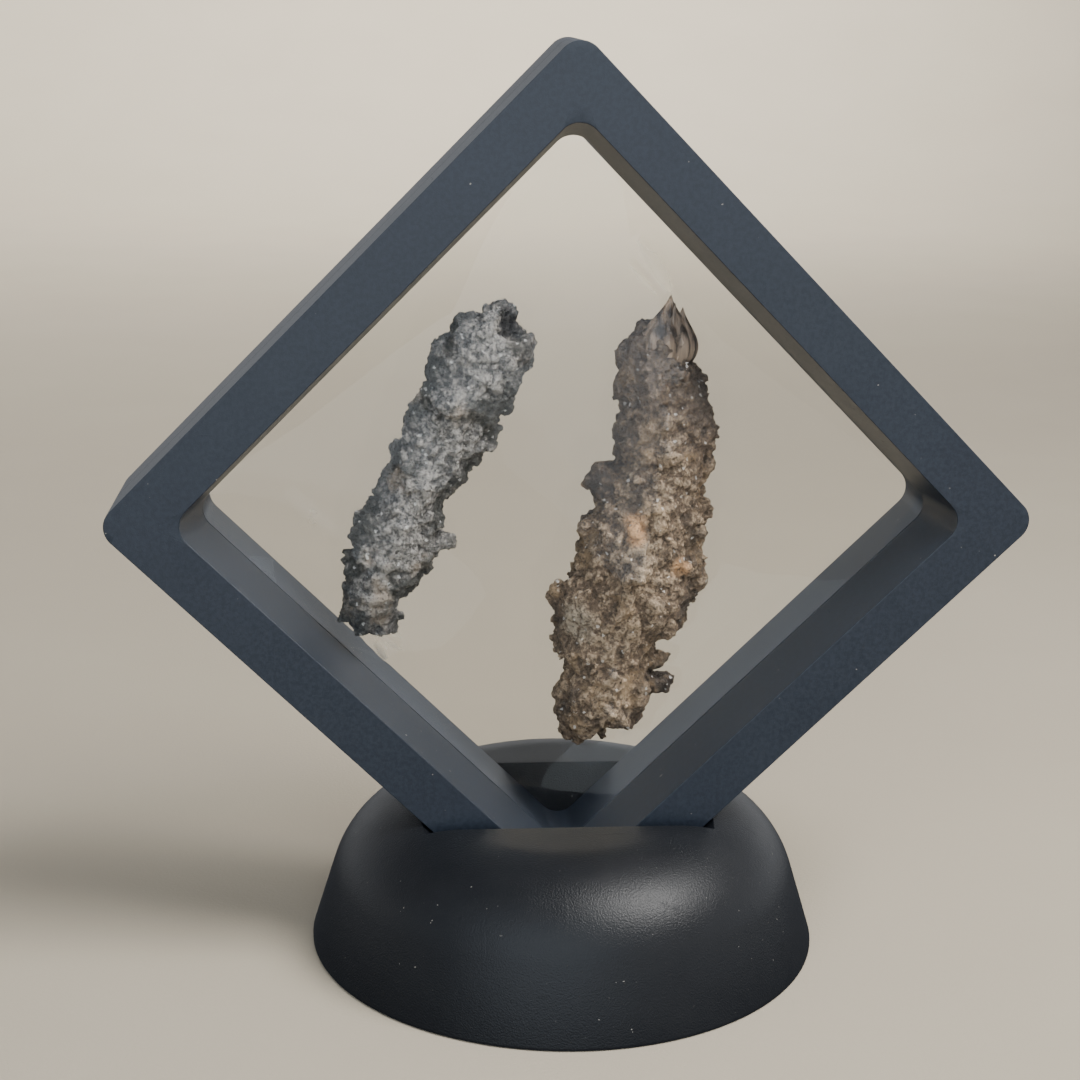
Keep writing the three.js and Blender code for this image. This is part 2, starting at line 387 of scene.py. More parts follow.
def across_face(a, b):
    """True for an edge that runs over the flat face, from the ring's outline to its opening."""
    wall = (FRAME_SIDE + FRONT_OPENING_SIDE) / 4
    reach = [max(abs(end.x), abs(end.z)) for end in (a, b)]
    return min(reach) < wall < max(reach)


def frame_half(name, side, face_opening):
    """One ring, modelled square on and then turned onto its corner. side is -1 in front and 1 behind."""
    bpy.ops.object.select_all(action="DESELECT")
    bpy.ops.mesh.primitive_plane_add(size=FRAME_SIDE, rotation=(math.pi / 2, 0.0, 0.0))
    ring = bpy.context.object
    ring.name = name
    bpy.ops.object.transform_apply(location=True, rotation=True, scale=True)
    in_edit_mode(ring)
    bpy.ops.mesh.select_all(action="SELECT")
    bpy.ops.mesh.inset(thickness=(FRAME_SIDE - face_opening) / 2)
    bpy.ops.mesh.delete(type="FACE")
    bpy.ops.mesh.select_all(action="SELECT")
    bpy.ops.transform.translate(value=(0.0, side * HALF_DEPTH, 0.0))
    bpy.ops.mesh.extrude_region_move(
        TRANSFORM_OT_translate={"value": (0.0, side * (SEAM_GAP / 2 - HALF_DEPTH), 0.0)})
    set_aside(ring)
    for point in ring.data.vertices:
        if abs(point.co.y) < HALF_DEPTH / 2 and abs(point.co.x) < face_opening * 0.51:
            point.co.x *= OPENING_SIDE / face_opening
            point.co.z *= OPENING_SIDE / face_opening
    in_edit_mode(ring)
    bpy.ops.mesh.select_all(action="SELECT")
    bpy.ops.mesh.normals_make_consistent(inside=False)
    select_edges(ring, lambda a, b: abs(a.y - b.y) > HALF_DEPTH / 2 and abs(a.x) > FRAME_SIDE * 0.49)
    bpy.ops.mesh.bevel(offset=FRAME_CORNER, segments=FRAME_CORNER_STEPS, affect="EDGES")
    select_edges(ring, lambda a, b: abs(a.y - b.y) > HALF_DEPTH / 2
                 and max(abs(a.x), abs(a.z)) < FRONT_OPENING_SIDE * 0.51)
    bpy.ops.mesh.bevel(offset=OPENING_CORNER, segments=OPENING_CORNER_STEPS, affect="EDGES")
    for face_at, offset, steps in ((HALF_DEPTH, ROUNDED_EDGE, EDGE_STEPS),
                                   (SEAM_GAP / 2, SEAM_EDGE, SEAM_EDGE_STEPS)):
        select_edges(ring, lambda a, b: abs(abs(a.y) - face_at) < NEARLY_ZERO
                     and abs(abs(b.y) - face_at) < NEARLY_ZERO and not across_face(a, b))
        bpy.ops.mesh.bevel(offset=offset, segments=steps, affect="EDGES", clamp_overlap=True)
    set_aside(ring)
    bpy.ops.object.select_all(action="DESELECT")
    ring.select_set(True)
    bpy.ops.object.shade_smooth_by_angle(angle=math.radians(35))
    modify(ring, "WEIGHTED_NORMAL", weight=50, keep_sharp=True)
    ring.data.transform(Matrix.Translation((0.0, 0.0, FRAME_CENTRE)) @ Matrix.Rotation(ONTO_CORNER, 4, "Y"))
    return ring


moulded, shader, place = finish_with("blue_black_plastic", IOR=1.5, Specular_IOR_Level=0.62)
grain = noise(place, 5200.0, 2.0, 0.6)
mottle = 0.5 * noise(place, 120.0, 4.0, 0.6) + 0.5 * between(noise(place, 1500.0, 3.0, 0.7), 0.35, 0.65)
specks = between(noise(place, 1700.0, 1.0, 0.4), 0.765, 0.80) * between(noise(place, 90.0, 2.0), 0.5, 0.62)
scuffs = between(noise(place, 240.0, 3.0, 0.6, stretch=(1.0, 1.0, 6.0)), 0.70, 0.73)
feed(shader,
     Base_Color=blend(specks, blend(mottle, FRAME_BLUE, FRAME_WORN), DUST),
     Roughness=0.40 + 0.10 * mottle + 0.10 * scuffs + 0.25 * specks,
     Normal=bump(scuffs, 0.00002, 0.3, under=bump(grain, 0.00003, 0.5)))
for name, side, face_opening, node in (("front_ring", -1, FRONT_OPENING_SIDE, "front_frame_half"),
                                       ("back_ring", 1, OPENING_SIDE, "back_frame_half")):
    ring = frame_half(name, side, face_opening)
    ring.data.materials.append(moulded)
    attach(ring, "root")
    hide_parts(node)


# ----------------------------------------------------------------------------------------------------------
# Fulgurites: branching tubes of sand melted together by lightning. Each one grew as one piece: a leaning core
# of oval sections, hundreds of fused lumps on it, pits between them and a crust of loose sand grains.
# ----------------------------------------------------------------------------------------------------------
SECTION_STEPS = 96
CORE_SIDES = 64
CORE_SHRINK = 0.90
BLUNT_ENDS = 9.0
FLANGE_POWER = 1.35
SMOOTHING_ROUNDS = 14


def section_at(sections, height):
    """Left edge, right edge and half depth at one height, smoothed between the listed sections."""
    heights = [row[0] for row in sections]
    return [float(np.interp(height, heights, [row[k] for row in sections])) for k in (1, 2, 3)]


def core(name, sections):
    """A closed sphere stretched so that its rings take the sections: a thick ridge in the middle, thin at the
    sides, and a little inside the final surface."""
    bpy.ops.object.select_all(action="DESELECT")
    bpy.ops.mesh.primitive_uv_sphere_add(segments=CORE_SIDES, ring_count=SECTION_STEPS)
    body = bpy.context.object
    body.name = name
    low, high = sections[0][0], sections[-1][0]
    for point in body.data.vertices:
        polar = math.acos(max(-1.0, min(1.0, -point.co.z)))
        around = math.atan2(point.co.y, point.co.x)
        reach = min(1.0, math.sin(polar) * BLUNT_ENDS)
        height = low + (high - low) * polar / math.pi
        left, right, depth = section_at(sections, height)
        middle, half = (left + right) / 2, (right - left) / 2
        through = math.copysign(abs(math.sin(around)) ** FLANGE_POWER, around)
        sideways = CORE_SHRINK * half * reach * math.cos(around)
        point.co = Vector((middle + sideways, CORE_SHRINK * depth * reach * through, height)) * MM
    return body


def studded(body, lumps):
    """Joins a lump, an angular little block, to the core at each of the given places, as separate shells."""
    bpy.ops.object.select_all(action="DESELECT")
    bpy.ops.mesh.primitive_ico_sphere_add(subdivisions=1, radius=1.0)
    ball = bpy.context.object
    shape = np.array([point.co[:] for point in ball.data.vertices])
    faces = np.array([face.vertices[:] for face in ball.data.polygons])
    bpy.data.objects.remove(ball)
    points = []
    all_faces = []
    count = 0
    for place, stretch, turn in lumps:
        turned = (shape * np.array(stretch)) @ np.array(Euler(turn).to_matrix()).T
        points.append((turned + np.array(place)) * MM)
        all_faces.append(faces + count)
        count += len(shape)
    crust = bpy.data.meshes.new("lumps")
    crust.from_pydata(np.concatenate(points).tolist(), [], np.concatenate(all_faces).tolist())
    lump_piece = bpy.data.objects.new("lumps", crust)
    bpy.context.collection.objects.link(lump_piece)
    bpy.ops.object.select_all(action="DESELECT")
    lump_piece.select_set(True)
    body.select_set(True)
    bpy.context.view_layer.objects.active = body
    bpy.ops.object.join()


def crust_lumps(sections, count, smallest, largest, seed):
    """Seeded lumps spread over the surface that the sections describe."""
    draw = random.Random(seed)
    low, high = sections[0][0], sections[-1][0]
    lumps = []
    for _ in range(count):
        height = draw.uniform(low, high)
        around = draw.uniform(-math.pi, math.pi)
        around -= draw.uniform(0.0, 0.45) * math.sin(2 * around)
        left, right, depth = section_at(sections, height)
        middle, half = (left + right) / 2, (right - left) / 2
        size = smallest + (largest - smallest) * draw.random() ** 2.2
        size = min(size, 0.55 * half)
        sunk = 1.0 - draw.uniform(0.70, 1.10) * size / max(half, size)
        through = math.copysign(abs(math.sin(around)) ** FLANGE_POWER, around)
        place = (middle + half * sunk * math.cos(around), depth * sunk * through, height)
        stretch = [size * draw.uniform(*limits) for limits in ((0.8, 1.5), (0.7, 1.2), (0.35, 0.8))]
        turn = [draw.uniform(0, math.pi) for _ in range(3)]
        lumps.append((place, stretch, turn))
    return lumps


def flakes(sections, places):
    """Pointed ledges that run out sideways from inside the body: x and height of the point, reach, half
    height and lean."""
    ledges = []
    for tip_x, height, reach, half_height, lean in places:
        left, right, _ = section_at(sections, height)
        inwards = math.copysign(0.95 * reach, (left + right) / 2 - tip_x)
        stretch = (reach, 0.55 * reach, half_height)
        ledges.append(((tip_x + inwards, 0.0, height), stretch, (0.0, lean, 0.0)))
    return ledges


def roughened(body, layers):
    """Roughens the fused skin with layers of procedural texture: kind, size, strength and middle of each."""
    for kind, size, strength, middle in layers:
        texture = bpy.data.textures.new("crags", kind)
        texture.noise_scale = size
        modify(body, "DISPLACE", texture=texture, texture_coords="LOCAL", strength=strength, mid_level=middle)
    bpy.ops.object.shade_smooth()


def mark_relief(body, sections):
    """Stores on each point how far it stands out of its surroundings, from 0 in a pit to 1 on a knob, and how
    far it is from the ridge, from 0 on the ridge to 1 at the sides. The crust colours paint shade with both:
    darker in the pits and on the sides away from the ridge."""
    count = len(body.data.vertices)
    points = np.empty(count * 3)
    body.data.vertices.foreach_get("co", points)
    points = points.reshape(-1, 3)
    ends = np.empty(len(body.data.edges) * 2, dtype=int)
    body.data.edges.foreach_get("vertices", ends)
    ends = ends.reshape(-1, 2)
    normals = np.empty(count * 3)
    body.data.vertices.foreach_get("normal", normals)
    normals = normals.reshape(-1, 3)
    neighbours = np.bincount(ends.ravel(), minlength=count)[:, None]
    smooth = points.copy()
    for _ in range(SMOOTHING_ROUNDS):
        total = np.zeros_like(smooth)
        for axis in range(3):
            total[:, axis] = (np.bincount(ends[:, 0], smooth[ends[:, 1], axis], count)
                              + np.bincount(ends[:, 1], smooth[ends[:, 0], axis], count))
        smooth = 0.3 * smooth + 0.7 * total / np.maximum(neighbours, 1)
    stand_out = ((points - smooth) * normals).sum(axis=1)
    spread = np.percentile(np.abs(stand_out), 95)
    relief = body.data.attributes.new("relief", "FLOAT", "POINT")
    relief.data.foreach_set("value", np.clip(0.5 + 0.5 * stand_out / spread, 0.0, 1.0))
    heights = [row[0] * MM for row in sections]
    left = np.interp(points[:, 2], heights, [row[1] * MM for row in sections])
    right = np.interp(points[:, 2], heights, [row[2] * MM for row in sections])
    aside = body.data.attributes.new("aside", "FLOAT", "POINT")
    off_ridge = np.abs(2 * points[:, 0] - left - right) / (right - left)
    aside.data.foreach_set("value", np.clip(off_ridge, 0.0, 1.0))


# Grey fulgurite: thin, leaning to the right at the top, where its hollow tube is open.
GREY_SECTIONS = (  # height, left edge, right edge and half depth
    (46.7, -27.8, -24.8, 1.6), (48.3, -31.6, -23.0, 3.2), (51.0, -31.2, -23.2, 4.0),
    (54.0, -31.0, -20.8, 4.5), (56.3, -30.9, -18.9, 4.9), (58.8, -29.9, -17.3, 5.1),
    (62.7, -30.1, -17.2, 5.2), (65.4, -27.3, -16.6, 4.9), (69.2, -26.3, -14.2, 4.9),
    (71.3, -24.4, -12.3, 5.1), (74.4, -22.9, -10.5, 5.2), (76.8, -22.8, -9.0, 5.2),
    (80.5, -21.4, -7.5, 5.4), (82.6, -19.3, -6.6, 5.4), (85.8, -19.1, -4.6, 5.3),
    (87.6, -18.1, -4.6, 5.1), (89.0, -16.5, -6.3, 4.8), (90.4, -15.7, -6.8, 4.2),
    (91.5, -13.4, -8.8, 2.8),
)
GREY_FLAKES = (
    (-15.2, 60.0, 3.4, 1.4, 0.15), (-4.2, 87.2, 3.4, 1.9, 0.3), (-4.6, 84.8, 3.0, 1.5, 0.0),
    (-32.3, 49.4, 3.0, 1.6, -0.3), (-22.4, 48.5, 2.4, 1.1, 0.0), (-18.4, 56.6, 2.6, 1.2, 0.3),
    (-11.9, 71.6, 2.6, 1.2, 0.3), (-7.4, 79.2, 3.0, 2.2, 0.0), (-21.6, 78.8, 3.0, 2.0, 0.1),
    (-30.3, 62.6, 3.0, 2.0, 0.1), (-19.3, 84.6, 2.6, 2.2, 0.0), (-8.9, 76.0, 2.6, 1.2, 0.5),
    (-31.1, 55.6, 2.6, 1.8, 0.0), (-20.6, 53.4, 2.4, 1.0, 0.4), (-23.0, 75.4, 2.6, 1.8, 0.0),
    (-14.0, 69.0, 2.4, 1.0, 0.2),
)
GREY_LUMPS = {"count": 230, "smallest": 0.8, "largest": 2.6, "seed": 11}
GREY_LAYERS = (
    ("CLOUDS", 3.4 * MM, 1.9 * MM, 0.5), ("VORONOI", 1.7 * MM, 0.7 * MM, 0.4),
    ("CLOUDS", 0.9 * MM, 0.9 * MM, 0.5), ("CLOUDS", 0.45 * MM, 0.4 * MM, 0.5),
)
GREY_PATTERN_SCALES = (260.0, 190.0, 2300.0, 2600.0)
GREY_VOXEL = 0.24 * MM
TUBE_PLACE = Vector((-8.5, -3.6, 89.8))
TUBE_SIZE = Vector((1.9, 4.2, 2.1))
TUBE_LEAN = Euler((math.radians(-25), 0.0, math.radians(-25)))
# Centre and reach of the painted shade in the tube's hollow.
HOLLOW_PAINTED_SHADE = (TUBE_PLACE + Vector((0.0, 2.0, 0.0)), 2.9)
GREY_DARK = (0.028, 0.028, 0.030, 1.0)
GREY_GREEN = (0.026, 0.029, 0.027, 1.0)
GREY_MID = (0.120, 0.116, 0.113, 1.0)
GREY_PALE = (0.29, 0.275, 0.255, 1.0)
GREY_TAN = (0.28, 0.22, 0.16, 1.0)
PAINTED_GLINT = (0.80, 0.80, 0.78, 1.0)

grey = core("grey_fulgurite_crust", GREY_SECTIONS)
studded(grey, crust_lumps(GREY_SECTIONS, **GREY_LUMPS) + flakes(GREY_SECTIONS, GREY_FLAKES))
modify(grey, "REMESH", mode="VOXEL", voxel_size=GREY_VOXEL)
bpy.ops.object.select_all(action="DESELECT")
bpy.ops.mesh.primitive_ico_sphere_add(subdivisions=4, radius=1.0)
tube = bpy.context.object
tube.data.transform(Matrix.Translation(TUBE_PLACE * MM) @ TUBE_LEAN.to_matrix().to_4x4()
                    @ Matrix.Diagonal((TUBE_SIZE * MM).to_4d()))
modify(grey, "BOOLEAN", operation="DIFFERENCE", object=tube, solver="EXACT")
bpy.data.objects.remove(tube)
modify(grey, "REMESH", mode="VOXEL", voxel_size=GREY_VOXEL)
roughened(grey, GREY_LAYERS)
mark_relief(grey, GREY_SECTIONS)


def crust_patterns(place, clump_scale, stain_scale, speckle_scale, grain_scale):
    """What both crusts are mixed from: the two stored measures, the height, three noises, the relief of the
    sand grains and one random tone for each grain."""
    relief = place.node("ShaderNodeAttribute", {"attribute_name": "relief"}, {}, "Fac")
    aside = place.node("ShaderNodeAttribute", {"attribute_name": "aside"}, {}, "Fac")
    height = place.node("ShaderNodeSeparateXYZ", {}, {"Vector": place}, "Z")
    clumps = noise(place, clump_scale, 4.0, 0.65)
    stains = noise(place, stain_scale, 3.0, 0.55)
    speckle = noise(place, speckle_scale, 2.0, 0.6)
    grains = place.node("ShaderNodeTexVoronoi", {}, {"Vector": place, "Scale": grain_scale})
    tone = place.node("ShaderNodeTexVoronoi", {}, {"Vector": place, "Scale": grain_scale}, "Color")
    tone = place.node("ShaderNodeSeparateColor", {}, {"Color": tone})
    return relief, aside, height, clumps, stains, speckle, grains, tone


def patches(place, spots):
    """For each spot, a centre and a reach, 1 near the centre and fading to 0 at the reach, all added up."""
    total = 0.0
    for centre, reach in spots:
        ends = {0: place, 1: Vector(centre) * MM}
        away = place.node("ShaderNodeVectorMath", {"operation": "DISTANCE"}, ends, "Value")
        total = total + (1 - between(away, 0.35 * reach * MM, reach * MM))
    return total


sugar, shader, place = finish_with("grey_sand_crust", IOR=1.5)
relief, aside, height, clumps, stains, speckle, grains, tone = crust_patterns(place, *GREY_PATTERN_SCALES)
ends = between(height, 0.087, 0.091) + 1 - between(height, 0.048, 0.053)
# The tone mixes the crust's own uneven colour (clumps, speckle, grain tone) with painted shade and light:
# darker in the pits and on the sides away from the ridge, lighter on knobs and along the ridge. It is also a
# little darker towards both ends.
light = 0.30 * relief + 0.44 * clumps + 0.50 * speckle + 0.16 * tone - 0.17 * aside - 0.07 * ends
coloured = blend(between(light, 0.24, 0.62), GREY_DARK, GREY_MID)
coloured = blend(between(light, 0.54, 0.78), coloured, GREY_PALE)
coloured = blend(0.5 * between(noise(place, 120.0, 3.0), 0.57, 0.66), coloured, GREY_TAN)
# Dark greenish stains, the crust's own colour, which reach further on the sides away from the ridge as
# painted shade.
coloured = blend(0.75 * between(stains + 0.15 * aside, 0.58, 0.68), coloured, GREY_GREEN)
coloured = blend(0.6 * between(noise(place, 2600.0, 1.0, 0.4), 0.56, 0.66), coloured, GREY_DARK)
# Painted glints: a few grains are painted nearly white.
coloured = blend(0.4 * between(tone, 0.988, 0.992), coloured, PAINTED_GLINT)
# Painted shade: the mouth of the hollow tube at the top is painted nearly black.
coloured = blend(0.9 * patches(place, (HOLLOW_PAINTED_SHADE,)), coloured, GREY_DARK)
feed(shader, Base_Color=coloured, Roughness=0.9 - 0.6 * between(tone, 0.93, 0.95),
     Normal=bump(speckle + 0.6 * grains, 0.0003, 0.7))
grey.data.materials.append(sugar)
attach(grey, "root")
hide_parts("grey_fulgurite")

# Brown fulgurite: thick and knobbly, with glassy fluted blades at the tip.
BROWN_SECTIONS = (  # height, left edge, right edge and half depth
    (31.0, 1.6, 6.4, 2.6), (31.9, -1.0, 9.0, 4.4), (33.4, -1.5, 11.0, 5.4), (35.6, -1.6, 12.4, 6.0),
    (38.5, -0.8, 12.8, 6.2), (41.0, -0.3, 12.6, 6.2), (43.4, -2.1, 12.8, 6.1), (45.4, -2.4, 14.4, 6.2),
    (48.0, -2.6, 17.6, 6.6), (51.6, -2.5, 19.2, 6.9), (54.0, -0.8, 19.6, 7.0), (56.4, 1.2, 19.8, 7.0),
    (58.6, 1.6, 18.9, 7.0), (61.0, 1.9, 19.6, 6.9), (63.4, 3.1, 20.2, 6.8), (67.0, 4.4, 19.0, 6.6),
    (70.9, 5.8, 19.9, 6.3), (75.0, 6.1, 20.3, 5.9), (77.6, 6.9, 19.8, 5.6), (80.4, 5.8, 19.1, 5.3),
    (82.6, 5.9, 18.4, 5.0), (85.3, 6.3, 17.4, 4.4), (87.6, 7.4, 16.2, 3.5), (89.2, 9.2, 15.5, 2.4),
    (90.4, 11.2, 14.8, 1.4),
)
BROWN_FLAKES = (
    (1.6, 66.4, 6.5, 4.6, 0.55), (21.2, 75.4, 3.4, 1.4, 0.15), (21.1, 62.8, 3.8, 1.5, -0.2),
    (15.6, 38.4, 3.0, 1.8, 0.2), (15.4, 41.6, 3.0, 1.2, -0.2), (5.3, 80.2, 3.6, 1.7, 0.1),
    (6.1, 85.2, 3.0, 2.0, 0.1), (20.0, 56.0, 3.4, 2.0, 0.0), (19.3, 52.2, 3.6, 2.4, 0.2),
    (17.8, 48.2, 3.4, 1.8, 0.3), (-2.3, 43.6, 3.2, 1.6, 0.2), (-2.6, 51.6, 3.2, 1.8, 0.0),
    (-1.7, 34.6, 3.0, 2.4, 0.1), (18.6, 82.0, 3.0, 1.8, 0.2), (20.0, 70.6, 3.4, 1.8, 0.1),
    (1.3, 57.2, 3.2, 2.4, 0.1), (5.9, 73.6, 3.4, 2.2, 0.0), (19.0, 66.4, 3.0, 1.0, 0.0),
)
BROWN_LUMPS = {"count": 280, "smallest": 0.9, "largest": 3.2, "seed": 5}
BROWN_LAYERS = (
    ("CLOUDS", 4.0 * MM, 2.3 * MM, 0.5), ("VORONOI", 1.9 * MM, 0.8 * MM, 0.4),
    ("CLOUDS", 0.95 * MM, 1.0 * MM, 0.5), ("CLOUDS", 0.45 * MM, 0.4 * MM, 0.5),
)
BROWN_PATTERN_SCALES = (250.0, 170.0, 2200.0, 2500.0)
BROWN_VOXEL = 0.25 * MM
BLADE_SIDES = 24
BLADE_CUTS = 12
BLADE_POINT = 0.04 * MM
BLADES = (  # x and height of each glassy blade's foot and tip, its half width at the foot and its depth place
    (12.9, 84.6, 13.4, 93.9, 2.8, -1.2), (14.7, 85.0, 15.1, 92.2, 1.8, -1.0),
    (11.2, 85.0, 11.4, 90.6, 1.7, -1.2), (13.3, 84.6, 13.9, 92.9, 1.1, -2.1),
    (12.4, 85.0, 12.4, 91.8, 1.0, -2.0),
)
BROWN_DARK = (0.036, 0.027, 0.021, 1.0)
BROWN_MID = (0.138, 0.095, 0.062, 1.0)
BROWN_PALE = (0.35, 0.265, 0.180, 1.0)
BROWN_ORANGE = (0.55, 0.32, 0.16, 1.0)
BROWN_TAN = (0.27, 0.185, 0.105, 1.0)
BROWN_PLUM = (0.090, 0.070, 0.060, 1.0)
BROWN_ASH = (0.33, 0.29, 0.225, 1.0)
BLADE_GLASS = (0.72, 0.54, 0.40, 1.0)
ORANGE_PATCHES = (((8.4, -6.5, 63.8), 2.5), ((8.9, -6.5, 61.6), 2.0), ((15.6, -5.5, 56.8), 2.1))
ASH_PATCHES = (((0.4, -5.0, 48.6), 4.5), ((7.0, -6.0, 70.5), 3.0))
SHADED_PATCHES = (((3.0, -2.0, 68.0), 4.6), ((18.0, -2.0, 49.0), 5.5), ((14.6, -2.0, 39.5), 4.2))

brown = core("brown_fulgurite_crust", BROWN_SECTIONS)
studded(brown, crust_lumps(BROWN_SECTIONS, **BROWN_LUMPS) + flakes(BROWN_SECTIONS, BROWN_FLAKES))
modify(brown, "REMESH", mode="VOXEL", voxel_size=BROWN_VOXEL)
roughened(brown, BROWN_LAYERS)
mark_relief(brown, BROWN_SECTIONS)
crust_faces = len(brown.data.polygons)
for foot_x, foot_z, tip_x, tip_z, half, depth in BLADES:
    length = math.hypot(tip_x - foot_x, tip_z - foot_z) * MM
    bpy.ops.object.select_all(action="DESELECT")
    bpy.ops.mesh.primitive_cone_add(vertices=BLADE_SIDES, radius1=half * MM, radius2=BLADE_POINT,
                                    depth=length)
    blade = bpy.context.object
    in_edit_mode(blade)
    bpy.ops.mesh.select_all(action="SELECT")
    bpy.ops.mesh.subdivide(number_cuts=BLADE_CUTS)
    set_aside(blade)
    lean = math.atan2(tip_x - foot_x, tip_z - foot_z)
    for point in blade.data.vertices:
        along = point.co.z / length + 0.5
        flutes = 0.14 * math.cos(8 * math.atan2(point.co.y, point.co.x))
        fluted = 1.0 + flutes + 1.1 * math.sin(math.pi * along)
        point.co.x *= fluted
        point.co.y *= 0.6 * fluted
    middle = Vector((foot_x + tip_x, 2 * depth, foot_z + tip_z)) * MM / 2
    blade.data.transform(Matrix.Translation(middle) @ Matrix.Rotation(lean, 4, "Y"))
    bpy.ops.object.select_all(action="DESELECT")
    blade.select_set(True)
    brown.select_set(True)
    bpy.context.view_layer.objects.active = brown
    bpy.ops.object.join()
bpy.ops.object.shade_smooth()

umber, shader, place = finish_with("brown_sand_crust", IOR=1.5)
relief, aside, height, clumps, stains, speckle, grains, tone = crust_patterns(place, *BROWN_PATTERN_SCALES)
upper = between(height + 0.02 * clumps, 0.076, 0.096)
ash = patches(place, ASH_PATCHES)
shaded = patches(place, SHADED_PATCHES)
orange = patches(place, ORANGE_PATCHES)
# The tone mixes the crust's own uneven colour (clumps, speckle, grain tone, ash patches, a darker upper part)
# with painted shade and light: darker in the pits, on the sides away from the ridge and in three shaded
# patches, lighter on knobs and along the ridge.
light = (0.30 * relief + 0.42 * clumps + 0.50 * speckle + 0.16 * tone
         - 0.14 * aside - 0.10 * upper - 0.26 * shaded + 0.06 * ash)
coloured = blend(between(light, 0.28, 0.66), BROWN_DARK, BROWN_MID)
coloured = blend(between(light, 0.58, 0.82), coloured, BROWN_PALE)
coloured = blend(0.6 * ash * between(light, 0.50, 0.70), coloured, BROWN_ASH)
coloured = blend(0.6 * between(noise(place, 150.0, 3.0, 0.6), 0.54, 0.64), coloured, BROWN_TAN)
coloured = blend(0.9 * orange * between(clumps + 0.6 * speckle, 0.50, 0.80), coloured, BROWN_ORANGE)
coloured = blend(0.5 * upper, coloured, BROWN_PLUM)
# Dark stains, the crust's own colour, which reach further on the sides away from the ridge as painted shade.
coloured = blend(0.6 * between(stains + 0.1 * aside, 0.58, 0.70), coloured, BROWN_DARK)
coloured = blend(0.65 * between(noise(place, 2600.0, 1.0, 0.4), 0.56, 0.66), coloured, BROWN_DARK)
# Painted glints: a few grains are painted nearly white.
coloured = blend(0.4 * between(tone, 0.988, 0.992), coloured, PAINTED_GLINT)
feed(shader, Base_Color=coloured,
     Roughness=(0.88 - 0.6 * between(tone, 0.92, 0.94)) * (1 - 0.4 * upper),
     Normal=bump(speckle + 0.6 * grains, 0.0003, 0.7))
glassy, shader, place = finish_with("blade_glass", IOR=1.46, Transmission_Weight=0.55)
streaks = noise(place, 900.0, 2.0, 0.5, stretch=(1.0, 1.0, 0.15))
feed(shader, Base_Color=blend(between(streaks, 0.35, 0.65), BROWN_PLUM, BLADE_GLASS),
     Roughness=0.12 + 0.25 * streaks, Normal=bump(streaks, 0.0002, 0.5))
brown.data.materials.append(umber)
brown.data.materials.append(glassy)
for face in brown.data.polygons[crust_faces:]:
    face.material_index = 1
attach(brown, "root")
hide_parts("brown_fulgurite")


# ----------------------------------------------------------------------------------------------------------
# Films: two sheets of clear elastic plastic, one bonded round the opening of each frame half. Pressed
# together they stretch over the fulgurites like a taut skin and hold them still.
# ----------------------------------------------------------------------------------------------------------
FILM_STEPS = 150
FILM_SIDE = 73.8 * MM
FILM_START = 0.14 * MM
FILM_THICKNESS = 0.10 * MM
FILM_LIFT = 0.18 * MM
LEAST_TOUCH = 0.3 * MM
STRETCHING_ROUNDS = 6000
CREASE_HEIGHT = 0.35 * MM
FILM_TINT = (0.955, 0.955, 0.945, 1.0)
PLEATS = (  # from and to in the XZ plane, half width and height of each small pleat in the skin
    (13.2, 94.0, 8.6, 101.4, 0.50, 0.60), (13.6, 94.2, 10.6, 100.4, 0.42, 0.45),
    (12.4, 93.0, 7.0, 98.4, 0.6, 0.35), (-27.2, 46.4, -25.2, 42.6, 0.5, 0.50),
    (-26.0, 46.4, -22.6, 44.0, 0.45, 0.40), (-31.6, 60.0, -39.0, 66.5, 1.2, 0.25),
)


def specimen_heights(side, lines):
    """How far the fulgurites stand out of the middle plane under each crossing of the film's grid."""
    heights = np.zeros((len(lines), len(lines)))
    for piece in (grey, brown):
        points = np.empty(len(piece.data.vertices) * 3)
        piece.data.vertices.foreach_get("co", points)
        x, y, z = points.reshape(-1, 3).T
        across = x * math.cos(ONTO_CORNER) - (z - FRAME_CENTRE) * math.sin(ONTO_CORNER)
        along = x * math.sin(ONTO_CORNER) + (z - FRAME_CENTRE) * math.cos(ONTO_CORNER)
        step = lines[1] - lines[0]
        column = np.rint((across - lines[0]) / step).astype(int)
        row = np.rint((along - lines[0]) / step).astype(int)
        np.maximum.at(heights, (column, row), side * y)
    spread = heights.copy()
    for shift in ((1, 0), (-1, 0), (0, 1), (0, -1)):
        spread = np.maximum(spread, np.roll(heights, shift, axis=(0, 1)))
    return spread


def stretched(floor_heights):
    """The taut skin: zero at the rim, never below the specimens, elsewhere the mean of its neighbours."""
    floor_heights = np.where(floor_heights > LEAST_TOUCH, floor_heights + FILM_LIFT, 0.0)
    skin = floor_heights.copy()
    for _ in range(STRETCHING_ROUNDS):
        mean = (skin[:-2, 1:-1] + skin[2:, 1:-1] + skin[1:-1, :-2] + skin[1:-1, 2:]) / 4
        skin[1:-1, 1:-1] = np.maximum(floor_heights[1:-1, 1:-1], mean)
    return skin


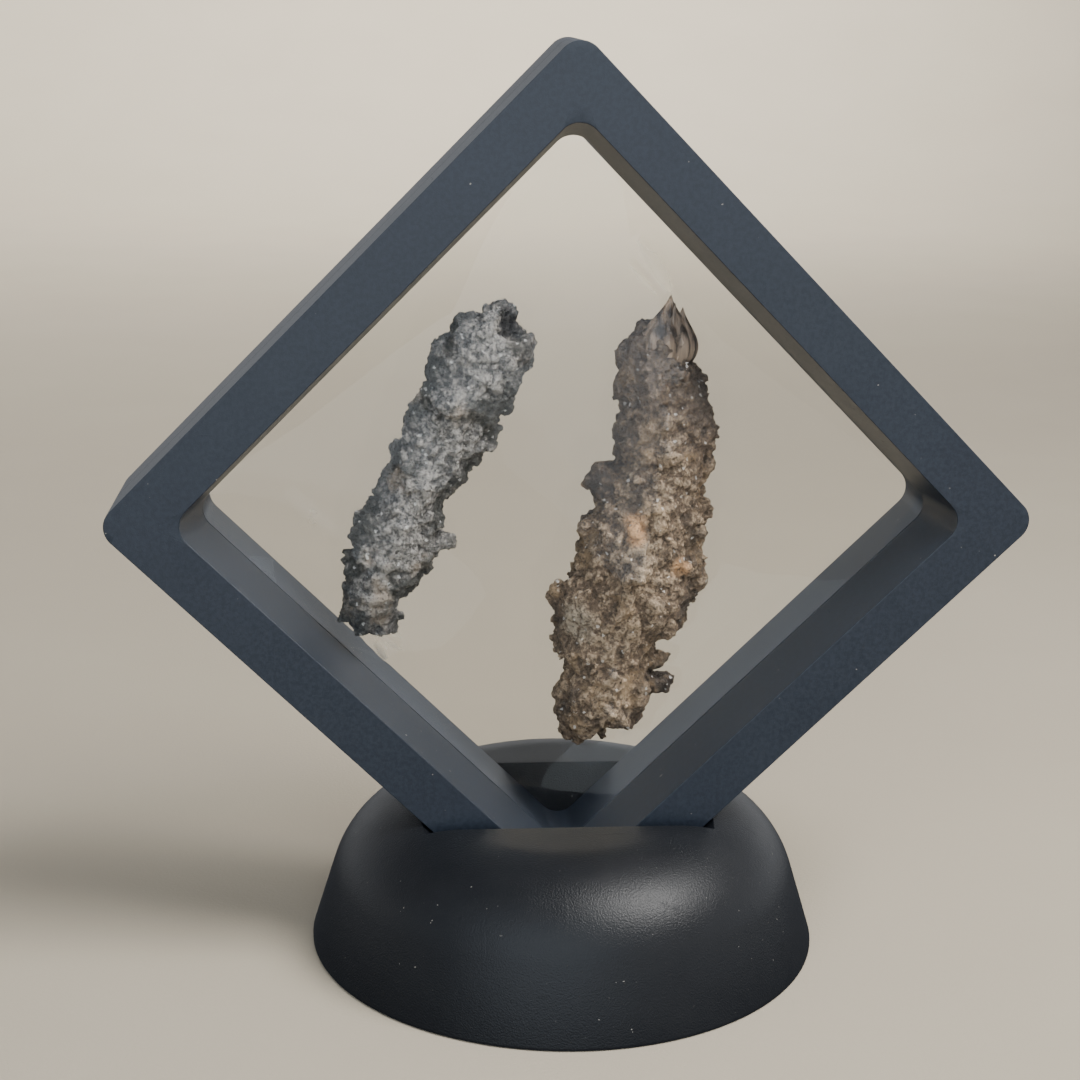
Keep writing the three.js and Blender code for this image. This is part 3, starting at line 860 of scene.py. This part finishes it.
def pleats(lines):
    """Height of the small pleats on the film's grid."""
    across, along = np.meshgrid(lines, lines, indexing="ij")
    x = (across * math.cos(ONTO_CORNER) + along * math.sin(ONTO_CORNER)) / MM
    z = (along * math.cos(ONTO_CORNER) - across * math.sin(ONTO_CORNER) + FRAME_CENTRE) / MM
    raised = np.zeros_like(x)
    for from_x, from_z, to_x, to_z, half, height in PLEATS:
        run = np.array([to_x - from_x, to_z - from_z])
        length = np.hypot(*run)
        t = ((x - from_x) * run[0] + (z - from_z) * run[1]) / length ** 2
        off = np.abs((x - from_x) * run[1] - (z - from_z) * run[0]) / length
        taper = np.clip(1 - np.abs(2 * t - 1), 0.0, 1.0)
        raised += height * np.exp(-(off / half) ** 2) * np.sqrt(taper)
    return raised * MM


def stretched_film(name, side):
    """One film, its grid laid square in the frame and turned onto its corner with it."""
    bpy.ops.object.select_all(action="DESELECT")
    bpy.ops.mesh.primitive_grid_add(x_subdivisions=FILM_STEPS, y_subdivisions=FILM_STEPS, size=FILM_SIDE)
    film = bpy.context.object
    film.name = name
    lines = np.linspace(-FILM_SIDE / 2, FILM_SIDE / 2, FILM_STEPS + 1)
    skin = stretched(specimen_heights(side, lines))
    points = np.empty(len(film.data.vertices) * 3)
    film.data.vertices.foreach_get("co", points)
    points = points.reshape(-1, 3)
    column = np.rint((points[:, 0] - lines[0]) / (lines[1] - lines[0])).astype(int)
    row = np.rint((points[:, 1] - lines[0]) / (lines[1] - lines[0])).astype(int)
    raised = pleats(lines)
    skin = skin + raised * (skin > 0.0)
    crease = film.data.attributes.new("crease", "FLOAT", "POINT")
    crease.data.foreach_set("value", np.clip(raised[column, row] / CREASE_HEIGHT, 0.0, 1.0))
    placed = np.stack([points[:, 0], side * (FILM_START + skin[column, row]), points[:, 1]], axis=1)
    film.data.vertices.foreach_set("co", placed.ravel())
    film.data.transform(Matrix.Translation((0.0, 0.0, FRAME_CENTRE)) @ Matrix.Rotation(ONTO_CORNER, 4, "Y"))
    modify(film, "SOLIDIFY", thickness=FILM_THICKNESS, offset=0.0)
    bpy.ops.object.shade_smooth()
    return film


clear, shader, place = finish_with("clear_elastic_film", IOR=1.25, Transmission_Weight=1.0,
                                   Base_Color=FILM_TINT)
waviness = noise(place, 70.0, 2.0, 0.5)
creased = place.node("ShaderNodeAttribute", {"attribute_name": "crease"}, {}, "Fac")
feed(shader, Roughness=0.012 + 0.012 * between(noise(place, 45.0, 3.0, 0.6), 0.55, 0.75) + 0.4 * creased,
     Normal=bump(waviness, 0.0004, 0.25))
for name, side, node in (("front_skin", -1, "front_film"), ("back_skin", 1, "back_film")):
    film = stretched_film(name, side)
    film.data.materials.append(clear)
    film.visible_shadow = False
    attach(film, "root")
    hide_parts(node)
